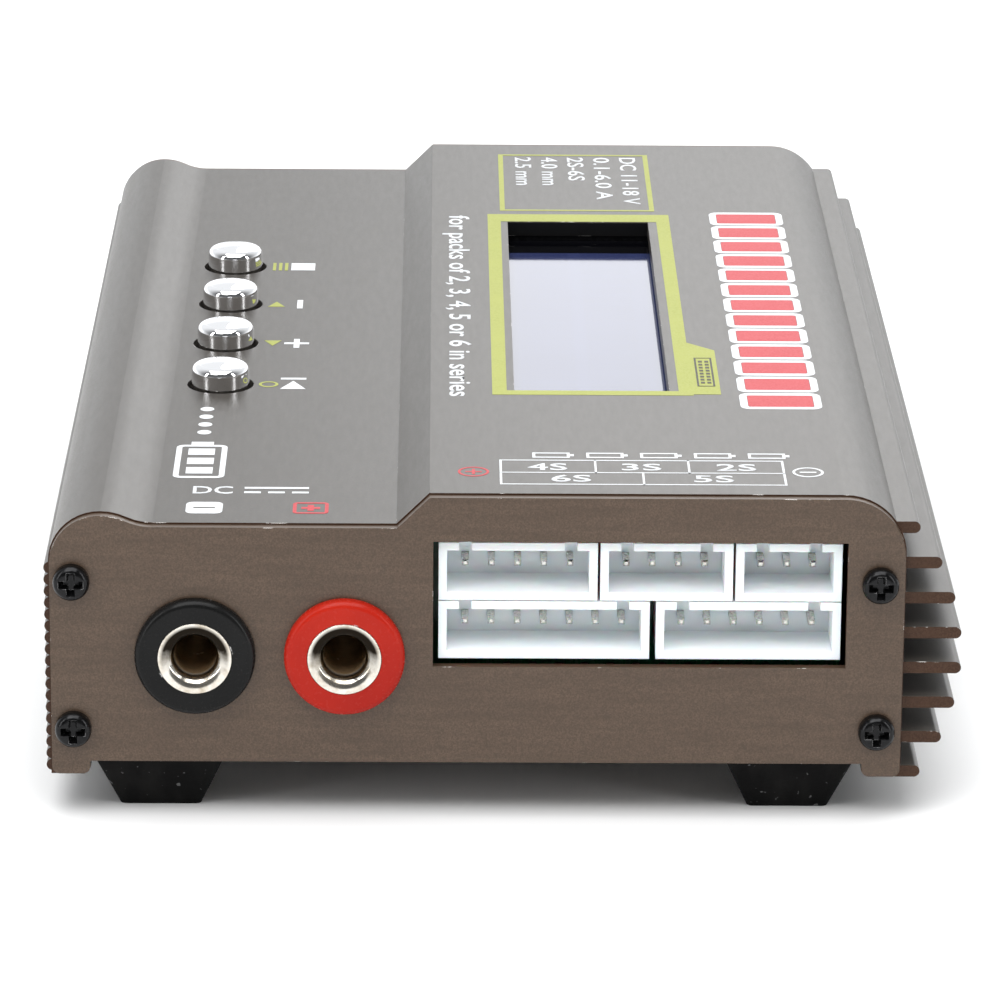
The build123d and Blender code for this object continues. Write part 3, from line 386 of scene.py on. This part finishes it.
def display_glass():
    """Dark blue character display behind glass, with the faint grid of its unlit characters and painted
    shade across its far end.
    """
    s = Shader("display_glass", Roughness=0.07, IOR=1.52, Coat_Weight=0.1, Coat_Roughness=0.03)
    haze = s.noise(60.0, 3.0)
    ground = s.mix(s.span(haze, 0.3, 0.7), (0.022, 0.030, 0.095), (0.034, 0.044, 0.120))
    cells = s.mix(s.times(unlit_characters(s), 0.35), ground, (0.010, 0.014, 0.055))
    # painted shade: the far 5 mm of the glass is painted near black, with pale dust specks
    far_end_shade = s.math("GREATER_THAN", s.axis(1), WINDOW_FAR_Y - 5.0 * MM)
    dust = s.span(s.noise(900.0, 3.0, 0.6), 0.68, 0.74)
    s.set("Base Color", s.mix(far_end_shade, cells, s.mix(dust, (0.002, 0.002, 0.003), (0.04, 0.04, 0.04))))
    s.relief(haze, 0.002 * MM)
    return s.material


shade(foot_rubber(), *[name for name in NODES if name.startswith("foot_")])
shade(circuit_board(), "main_board", "balance_board", "display_board")
shade(display_glass(), "display_glass")
shade(moulded_plastic("socket_black", (0.005, 0.005, 0.005), (0.010, 0.010, 0.010), 0.20, 0.60, IOR=1.24),
      "negative_socket_insulator", "power_jack_body")
shade(moulded_plastic("socket_red", (0.43, 0.018, 0.008), (0.34, 0.012, 0.006), 0.20, 0.62, IOR=1.24),
      "positive_socket_insulator")
shade(moulded_plastic("white_nylon", (0.93, 0.95, 0.97), (0.88, 0.92, 0.95), 0.38,
                      Subsurface_Weight=0.3, Subsurface_Scale=1.2 * MM),
      "sensor_socket_housing", *[name for name in NODES if name.startswith("balance_header_")])
shade(moulded_plastic("light_guide", (0.72, 0.76, 0.78), (0.62, 0.68, 0.72), 0.5), "display_backlight")
shade(moulded_plastic("silicone_pad", (0.30, 0.34, 0.36), (0.24, 0.27, 0.29), 0.6, None, 0.02 * MM),
      "thermal_pad")
shade(moulded_plastic("inner_black", (0.012, 0.012, 0.012), (0.02, 0.02, 0.02), 0.45),
      "display_header", "balance_link_header", "microcontroller", "power_transistors", "buzzer",
      "inductor_core", *[name for name in NODES if "_switch_" in name])


# ================================================================ printing tools
INK_SINK = 0.01 * MM
INK_RISE = 0.02 * MM
LETTER_WEIGHT = 0.012


def ink(name, colour, rough=0.45):
    """Screen-printed ink: slightly uneven cover and a soft satin surface."""
    s = Shader(name, IOR=1.45)
    cover = s.noise(5200.0, 3.0, 0.6)
    patch = s.noise(260.0, 3.0)
    worn = s.mix(s.span(patch, 0.4, 0.7), scaled(colour, 0.72), colour)
    s.set("Base Color", s.mix(s.span(cover, 0.4, 0.8, 0.0, 0.55), colour, worn))
    s.set("Roughness", s.span(cover, 0.3, 0.7, rough, rough + 0.12))
    s.relief(cover, 0.004 * MM)
    return s.material


def circle(x, y, radius, sides=36):
    angles = [2 * math.pi * i / sides for i in range(sides)]
    return [(x + radius * math.cos(a), y + radius * math.sin(a)) for a in angles]


def outline(x0, y0, x1, y1):
    """Corners of a rectangle, anticlockwise."""
    return [(x0, y0), (x1, y0), (x1, y1), (x0, y1)]


def rounded(x0, y0, x1, y1, radius, steps=5):
    """Corners of a rectangle with round corners, anticlockwise."""
    points = []
    for x, y, start in ((x1, y1, 0), (x0, y1, 90), (x0, y0, 180), (x1, y0, 270)):
        cx = x - radius if x == x1 else x + radius
        cy = y - radius if y == y1 else y + radius
        for i in range(steps):
            a = math.radians(start + 90 * i / (steps - 1))
            points.append((cx + radius * math.cos(a), cy + radius * math.sin(a)))
    return points


class Print:
    """One colour of ink on one deck, drawn in millimetres from the left flank and the front face."""

    def __init__(self, name, height, material):
        self.mesh = bmesh.new()
        self.name = name
        self.height = height
        self.material = material

    def place(self, x, y, z):
        return Vector((FLANK_X + x * MM, FRONT_Y + y * MM, self.height + z))

    def polygon(self, points):
        """A closed patch of ink with the given corners, as a thin prism."""
        low = [self.mesh.verts.new(self.place(x, y, -INK_SINK)) for x, y in points]
        high = [self.mesh.verts.new(self.place(x, y, INK_RISE)) for x, y in points]
        self.mesh.faces.new(high)
        self.mesh.faces.new(low[::-1])
        for i in range(len(points)):
            j = (i + 1) % len(points)
            self.mesh.faces.new((low[i], low[j], high[j], high[i]))

    def rect(self, x0, y0, x1, y1):
        self.polygon(outline(x0, y0, x1, y1))

    def bar(self, x, y, across, along):
        """A filled rectangle centred on a point."""
        self.rect(x - across / 2, y - along / 2, x + across / 2, y + along / 2)

    def plus(self, x, y, across, along, width):
        """A plus sign centred on a point."""
        stub = (along - width) / 2
        self.bar(x, y, across, width)
        for side in (-1, 1):
            self.bar(x, y + side * (width + stub) / 2, width, stub)

    def band(self, outer, inner):
        """Ink between two closed outlines with the same number of corners."""
        rings = []
        for z in (-INK_SINK, INK_RISE):
            rings.append([[self.mesh.verts.new(self.place(x, y, z)) for x, y in line]
                          for line in (outer, inner)])
        (low_out, low_in), (high_out, high_in) = rings
        for i in range(len(outer)):
            j = (i + 1) % len(outer)
            self.mesh.faces.new((high_out[i], high_out[j], high_in[j], high_in[i]))
            self.mesh.faces.new((low_in[i], low_in[j], low_out[j], low_out[i]))
            self.mesh.faces.new((low_out[i], low_out[j], high_out[j], high_out[i]))
            self.mesh.faces.new((high_in[i], high_in[j], low_in[j], low_in[i]))

    def frame(self, x0, y0, x1, y1, width, radius=0.0):
        """A rectangular outline of the given line width."""
        self.band(rounded(x0, y0, x1, y1, radius),
                  rounded(x0 + width, y0 + width, x1 - width, y1 - width, max(radius - width, 0.0)))

    def ring(self, x, y, radius, width):
        self.band(circle(x, y, radius), circle(x, y, radius - width))

    def text(self, words, x0, y0, x1, y1, turned=False, weight=LETTER_WEIGHT):
        """Plain lettering fitted into a box; turned lettering reads towards the front."""
        curve = bpy.data.curves.new("words", "FONT")
        curve.body = words
        curve.resolution_u = 3
        curve.offset = weight
        holder = bpy.data.objects.new("words", curve)
        bpy.context.scene.collection.objects.link(holder)
        bpy.context.view_layer.update()
        depsgraph = bpy.context.evaluated_depsgraph_get()
        flat = bpy.data.meshes.new_from_object(holder.evaluated_get(depsgraph))
        bpy.data.objects.remove(holder)
        letters = bmesh.new()
        letters.from_mesh(flat)
        us = [v.co.x for v in letters.verts]
        vs = [v.co.y for v in letters.verts]
        for v in letters.verts:
            a = (v.co.x - min(us)) / (max(us) - min(us))
            b = (v.co.y - min(vs)) / (max(vs) - min(vs))
            if turned:
                v.co = self.place(x0 + b * (x1 - x0), y1 - a * (y1 - y0), INK_RISE)
            else:
                v.co = self.place(x0 + a * (x1 - x0), y0 + b * (y1 - y0), INK_RISE)
        bmesh.ops.dissolve_limit(letters, angle_limit=0.01, verts=letters.verts, edges=letters.edges)
        walls = bmesh.ops.extrude_face_region(letters, geom=letters.faces[:])
        for v in walls["geom"]:
            if isinstance(v, bmesh.types.BMVert):
                v.co.z -= INK_RISE + INK_SINK
        letters.to_mesh(flat)
        self.mesh.from_mesh(flat)

    def finish(self):
        """Turn the drawing into one object that rides on the housing."""
        bmesh.ops.recalc_face_normals(self.mesh, faces=self.mesh.faces)
        data = bpy.data.meshes.new(self.name)
        self.mesh.to_mesh(data)
        data.materials.append(self.material)
        piece = bpy.data.objects.new(self.name, data)
        bpy.context.scene.collection.objects.link(piece)
        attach(piece, "housing")


# ================================================================ printed legends
white_ink = ink("white_ink", (0.74, 0.76, 0.78))
yellow_ink = ink("yellow_ink", (0.335, 0.36, 0.06))
red_ink = ink("red_ink", (0.50, 0.040, 0.050))

white = Print("print_white_upper", DECK_Z, white_ink)
yellow = Print("print_yellow_upper", DECK_Z, yellow_ink)
red = Print("print_red_upper", DECK_Z, red_ink)
dark = Print("print_tab_symbol", DECK_Z + INK_RISE, ink("dark_ink", (0.05, 0.045, 0.03)))
low_white = Print("print_white_lower", LOWER_DECK_Z, white_ink)
low_yellow = Print("print_yellow_lower", LOWER_DECK_Z, yellow_ink)
low_red = Print("print_red_lower", LOWER_DECK_Z, red_ink)

SURROUND = (WINDOW_LEFT - 0.75, WINDOW_NEAR - 0.05, WINDOW_RIGHT + 0.95, WINDOW_FAR + 0.1)
SURROUND_LINE = 1.45
SURROUND_HEAD = 3.0
TAB_WIDTH = 2.75
TAB_LENGTH = 15.4
TAB_SLOPE = 2.8
TAB_START = 0.4
SCREEN_INSET = (0.5, 2.7)
SCREEN_SIZE = (1.8, 10.0)
SCREEN_LINE = 0.2
SCREEN_ROWS = 8
SCREEN_ROW_STEP = 1.05
SCREEN_DOT = (0.4, 0.6)


def display_surround():
    """Thick line around the window, with a tab that holds a small screen symbol."""
    left, near, right, far = SURROUND
    near -= SURROUND_LINE
    right += SURROUND_LINE
    yellow.band(outline(left - SURROUND_LINE, near, right, far + SURROUND_HEAD), outline(*SURROUND))
    near += TAB_START
    slope_start = near + TAB_LENGTH
    yellow.polygon([(right, near), (right + TAB_WIDTH, near), (right + TAB_WIDTH, slope_start),
                    (right, slope_start + TAB_SLOPE)])
    left = right + SCREEN_INSET[0]
    near += SCREEN_INSET[1]
    dark.frame(left, near, left + SCREEN_SIZE[0], near + SCREEN_SIZE[1], SCREEN_LINE)
    for i in range(SCREEN_ROWS):
        y = near + 1.0 + SCREEN_ROW_STEP * i
        for x in (left + 0.4, left + 1.05):
            dark.rect(x, y, x + SCREEN_DOT[0], y + SCREEN_DOT[1])


RATINGS = ("DC 11-18 V", "0.1-6.0 A", "2S-6S", "4.0 mm", "2.5 mm")
RATINGS_BLOCK = (43.7, 103.0, 60.9, 127.8)
RATING_HEIGHT = 1.9
RATING_STEP = 3.0
RATING_ADVANCE = 2.05
RATING_WEIGHT = 0.01
RATINGS_LINE = (0.55, 0.5)
FIRST_RATING = (3.3, 1.3)


def ratings_block():
    """Lines of figures in a thin frame beyond the display."""
    left, near, right, far = RATINGS_BLOCK
    across, along = RATINGS_LINE
    yellow.band(outline(*RATINGS_BLOCK), outline(left + across, near + along, right - across, far - along))
    y = far - FIRST_RATING[1]
    for i, words in enumerate(RATINGS):
        x = right - FIRST_RATING[0] - RATING_STEP * i
        white.text(words, x, y - RATING_ADVANCE * len(words), x + RATING_HEIGHT, y, True, RATING_WEIGHT)


GAUGE_LEFT = 66.9
GAUGE_RIGHT = 75.0
GAUGE_NEAR = 28.4
GAUGE_FAR = 103.0
GAUGE_CELLS = 13
CELL_GAP = 0.35
CELL_LINE = 0.75
CELL_ROUND = 1.0
FILL_INSET = 0.8
FILL_ROUND = 0.4


def charge_gauge():
    """Row of red cells with white outlines along the right of the deck."""
    step = (GAUGE_FAR - GAUGE_NEAR) / GAUGE_CELLS
    for i in range(GAUGE_CELLS):
        near = GAUGE_NEAR + step * i
        far = near + step - CELL_GAP
        white.frame(GAUGE_LEFT, near, GAUGE_RIGHT, far, CELL_LINE, CELL_ROUND)
        red.polygon(rounded(GAUGE_LEFT + FILL_INSET, near + FILL_INSET,
                            GAUGE_RIGHT - FILL_INSET, far - FILL_INSET, FILL_ROUND))


TABLE = (42.8, 3.8, 70.1, 11.5)
TABLE_FRAME = 0.22
TABLE_LINE = 0.2
ROW_SPLIT = 7.45
LABEL_WIDTH = 3.8
LABEL_HEIGHT = 2.1
# each row: near and far edge, dividers, near edge of its labels, and the cell count and middle of each
TABLE_ROWS = ((ROW_SPLIT, TABLE[3], (51.9, 60.85), 8.3, ((4, 47.4), (3, 56.4), (2, 65.5))),
              (TABLE[1], ROW_SPLIT, (56.4,), 4.7, ((6, 49.6), (5, 63.2))))
ICONS = 5
ICON_START = (3.2, 0.7)
ICON_STEP = 5.2
ICON_SIZE = (3.6, 1.6)
ICON_LINE = 0.28
ICON_NUB = 0.4
PLUS_BADGE = (40.3, 7.7)
MINUS_BADGE = (72.3, 7.95)
BADGE_RADIUS = 1.5
BADGE_LINE = 0.25
BADGE_SIGN = 1.6
BADGE_SIGN_LINE = 0.3


def socket_table():
    """Table of the balance sockets behind the plate, a row of cell symbols and two polarity badges."""
    left, near, right, far = TABLE
    white.frame(*TABLE, TABLE_FRAME)
    white.rect(left, ROW_SPLIT, right, ROW_SPLIT + TABLE_LINE)
    for low, high, dividers, base, labels in TABLE_ROWS:
        for x in dividers:
            white.rect(x, low, x + TABLE_LINE, high)
        for count, x in labels:
            white.text(f"{count}S", x - LABEL_WIDTH / 2, base, x + LABEL_WIDTH / 2, base + LABEL_HEIGHT)
    near = far + ICON_START[1]
    for i in range(ICONS):
        x = left + ICON_START[0] + ICON_STEP * i
        end = x + ICON_SIZE[0]
        white.frame(x, near, end, near + ICON_SIZE[1], ICON_LINE)
        white.rect(end, near + 0.5, end + ICON_NUB, near + 1.1)
    red.ring(*PLUS_BADGE, BADGE_RADIUS, BADGE_LINE)
    red.plus(*PLUS_BADGE, BADGE_SIGN, BADGE_SIGN, BADGE_SIGN_LINE)
    white.ring(*MINUS_BADGE, BADGE_RADIUS, BADGE_LINE)
    white.bar(*MINUS_BADGE, BADGE_SIGN, BADGE_SIGN_LINE)


DC_WORDS = (13.35, 9.9, 17.2, 12.2)
DC_BAR = (18.3, 11.5, 24.5, 12.0)
DC_DASHES = 3
DC_DASH_STEP = 2.3
DC_DASH_LENGTH = 1.6
DC_DASH_NEAR = 10.1
DC_DASH_FAR = 10.6
MINUS_TILE = (12.9, 3.8, 16.4, 7.3)
MINUS_SLOT = (13.6, 5.35, 15.7, 5.75)
PLUS_TILE = (23.1, 3.9, 26.5, 7.3)
PLUS_TILE_LINE = 0.35
PLUS_TILE_SIGN = 1.8
PLUS_TILE_SIGN_LINE = 0.6


def output_marks():
    """Direct current mark above the output sockets and a polarity badge over each of them."""
    low_white.text("DC", *DC_WORDS)
    low_white.rect(*DC_BAR)
    for i in range(DC_DASHES):
        x = DC_BAR[0] + DC_DASH_STEP * i
        low_white.rect(x, DC_DASH_NEAR, x + DC_DASH_LENGTH, DC_DASH_FAR)
    low_white.band(rounded(*MINUS_TILE, 0.7), rounded(*MINUS_SLOT, 0.05))
    low_red.frame(*PLUS_TILE, PLUS_TILE_LINE, 0.5)
    x = (PLUS_TILE[0] + PLUS_TILE[2]) / 2
    y = (PLUS_TILE[1] + PLUS_TILE[3]) / 2
    low_red.plus(x, y, PLUS_TILE_SIGN, PLUS_TILE_SIGN, PLUS_TILE_SIGN_LINE)


SYMBOL_X = 22.1
SYMBOL_WIDTH = 2.6
SYMBOL_LENGTH = 3.2
SYMBOL_LINE = 0.6
SMALL_SYMBOL_X = 19.6
ARROW_HALF = 0.9
STRIPE_STEP = 0.65


def cap_middle(button):
    """Distance of a button's axis from the front face, millimetres."""
    low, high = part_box(button + "_button_cap")
    return ((low.y + high.y) / 2 - FRONT_Y) / MM


def button_symbols():
    """White symbol and small yellow symbol beside each button."""
    left = SYMBOL_X - SYMBOL_WIDTH / 2
    right = SYMBOL_X + SYMBOL_WIDTH / 2
    y = cap_middle("start")
    low_white.polygon([(left, y - 1.6), (right, y - 1.6), (SYMBOL_X, y + 1.2)])
    low_white.bar(SYMBOL_X, y + 2.0, SYMBOL_WIDTH, SYMBOL_LINE)
    low_yellow.ring(SMALL_SYMBOL_X, y, 1.0, 0.3)
    y = cap_middle("increase")
    low_white.plus(SYMBOL_X, y, SYMBOL_WIDTH, SYMBOL_LENGTH, SYMBOL_LINE)
    low_yellow.polygon([(SMALL_SYMBOL_X - ARROW_HALF, y + 1.0), (SMALL_SYMBOL_X + ARROW_HALF, y + 1.0),
                        (SMALL_SYMBOL_X, y - ARROW_HALF)])
    y = cap_middle("decrease")
    low_white.bar(SYMBOL_X, y, SYMBOL_LINE, SYMBOL_LENGTH)
    low_yellow.polygon([(SMALL_SYMBOL_X - ARROW_HALF, y - 1.0), (SMALL_SYMBOL_X, y + ARROW_HALF),
                        (SMALL_SYMBOL_X + ARROW_HALF, y - 1.0)])
    y = cap_middle("stop")
    low_white.bar(SYMBOL_X, y, SYMBOL_WIDTH, 2.8)
    for i in range(3):
        low_yellow.bar(SMALL_SYMBOL_X - 0.625 + STRIPE_STEP * i, y, 0.35, 3.0)


PACK_X = 13.7
PACK_NEAR = 14.8
PACK_LENGTH = 10.6
PACK_WIDTH = 5.0
PACK_LINE = 0.55
PACK_ROUND = 0.8
LEVELS = 3
LEVEL_STEP = 3.0
TRAIL_DOTS = 4
TRAIL_STEP = 2.6


def pack_symbol():
    """Outlined cell with its charge level, and a row of dots that leads to the buttons."""
    far = PACK_NEAR + PACK_LENGTH
    low_white.frame(PACK_X - PACK_WIDTH / 2, PACK_NEAR, PACK_X + PACK_WIDTH / 2, far,
                    PACK_LINE, PACK_ROUND)
    low_white.bar(PACK_X, far + 0.5, 2.2, 1.0)
    for i in range(LEVELS):
        low_white.bar(PACK_X, PACK_NEAR + 2.4 + LEVEL_STEP * i, 2.6, 2.0)
    for i in range(TRAIL_DOTS):
        low_white.polygon(circle(PACK_X, far + 4.2 + TRAIL_STEP * i, 0.7, 20))


display_surround()
ratings_block()
charge_gauge()
white.text("for packs of 2, 3, 4, 5 or 6 in series", 37.3, 32.3, 40.3, 100.8, turned=True)
socket_table()
output_marks()
button_symbols()
pack_symbol()
for drawing in (white, yellow, red, dark, low_white, low_yellow, low_red):
    drawing.finish()


# ================================================================ stage, light and camera
FLOOR_SIZE = 6.0


def pale_floor():
    """Plain pale floor with a faint mottle."""
    s = Shader("pale_floor", Roughness=0.6)
    s.set("Base Color", s.mix(s.span(s.noise(6.0), 0.3, 0.7), (0.90, 0.90, 0.90), (0.92, 0.92, 0.92)))
    half = FLOOR_SIZE / 2
    data = bpy.data.meshes.new("floor")
    corners = [(x, y, 0) for x, y in outline(-half, -half, half, half)]
    data.from_pydata(corners, [], [(0, 1, 2, 3)])
    data.materials.append(s.material)
    ground = bpy.data.objects.new("floor", data)
    bpy.context.scene.collection.objects.link(ground)


def area_light(name, size, power, at, towards=(0, 0, 0.02)):
    """Square soft light at a place, facing a point."""
    data = bpy.data.lights.new(name, "AREA")
    data.shape = "SQUARE"
    data.size = size
    data.energy = power
    lamp = bpy.data.objects.new(name, data)
    lamp.location = at
    lamp.rotation_euler = (Vector(towards) - Vector(at)).to_track_quat("-Z", "Y").to_euler()
    bpy.context.scene.collection.objects.link(lamp)
    return data


def studio_lights():
    """Large soft lights above and in front, a small one behind, and a tall strip on each side."""
    area_light("top_softbox", 1.1, 15.0, (-0.05, -0.35, 1.1))
    area_light("front_softbox", 0.7, 3.0, (-0.5, -0.9, 1.2))
    area_light("rear_softbox", 0.3, 0.45, (0.12, 0.5, 0.30), (0.0, 0.06, 0.03))
    for side in (-1, 1):
        strip = area_light("side_strip", 0.12, 2.2, (0.75 * side, -0.5, 0.35))
        strip.shape = "RECTANGLE"
        strip.size_y = 0.7


def studio_room():
    """Surroundings: a bright wall behind the object, brightest low down, and a dim room before it."""
    world = bpy.data.worlds.new("studio")
    world.use_nodes = True
    tree = world.node_tree
    direction = tree.nodes.new("ShaderNodeSeparateXYZ")
    tree.links.new(tree.nodes.new("ShaderNodeTexCoord").outputs["Generated"], direction.inputs[0])
    strength = tree.nodes.new("ShaderNodeMath")
    strength.operation = "MULTIPLY"
    for slot, axis, kind, limits in ((0, 1, "SMOOTHSTEP", (-0.6, 0.7, 0.12, 1.2)),
                                     (1, 2, "LINEAR", (0.16, 0.42, 1.3, 0.85))):
        fade = tree.nodes.new("ShaderNodeMapRange")
        fade.interpolation_type = kind
        for socket, limit in zip(("From Min", "From Max", "To Min", "To Max"), limits):
            fade.inputs[socket].default_value = limit
        tree.links.new(direction.outputs[axis], fade.inputs["Value"])
        tree.links.new(fade.outputs["Result"], strength.inputs[slot])
    background = tree.nodes["Background"]
    background.inputs["Color"].default_value = (0.96, 0.98, 1.0, 1.0)
    tree.links.new(strength.outputs["Value"], background.inputs["Strength"])
    bpy.context.scene.world = world


CAMERA_AT = Vector((-6.5, -579.0, 199.2)) * MM
YAW = math.radians(0.68)
PITCH = math.radians(-18.05)
ROLL = math.radians(0.48)
LENS = 205.65
SENSOR = 36.0


def photo_camera():
    """Long lens from the front, looking down at the decks."""
    data = bpy.data.cameras.new("camera")
    data.lens = LENS
    data.sensor_width = SENSOR
    data.clip_end = 20.0
    camera = bpy.data.objects.new("camera", data)
    tilt = Matrix.Rotation(math.pi / 2 + PITCH, 4, "X") @ Matrix.Rotation(ROLL, 4, "Z")
    camera.matrix_world = Matrix.Translation(CAMERA_AT) @ Matrix.Rotation(-YAW, 4, "Z") @ tilt
    bpy.context.scene.collection.objects.link(camera)
    bpy.context.scene.camera = camera


pale_floor()
studio_lights()
studio_room()
bpy.context.scene.view_settings.view_transform = "Standard"
photo_camera()
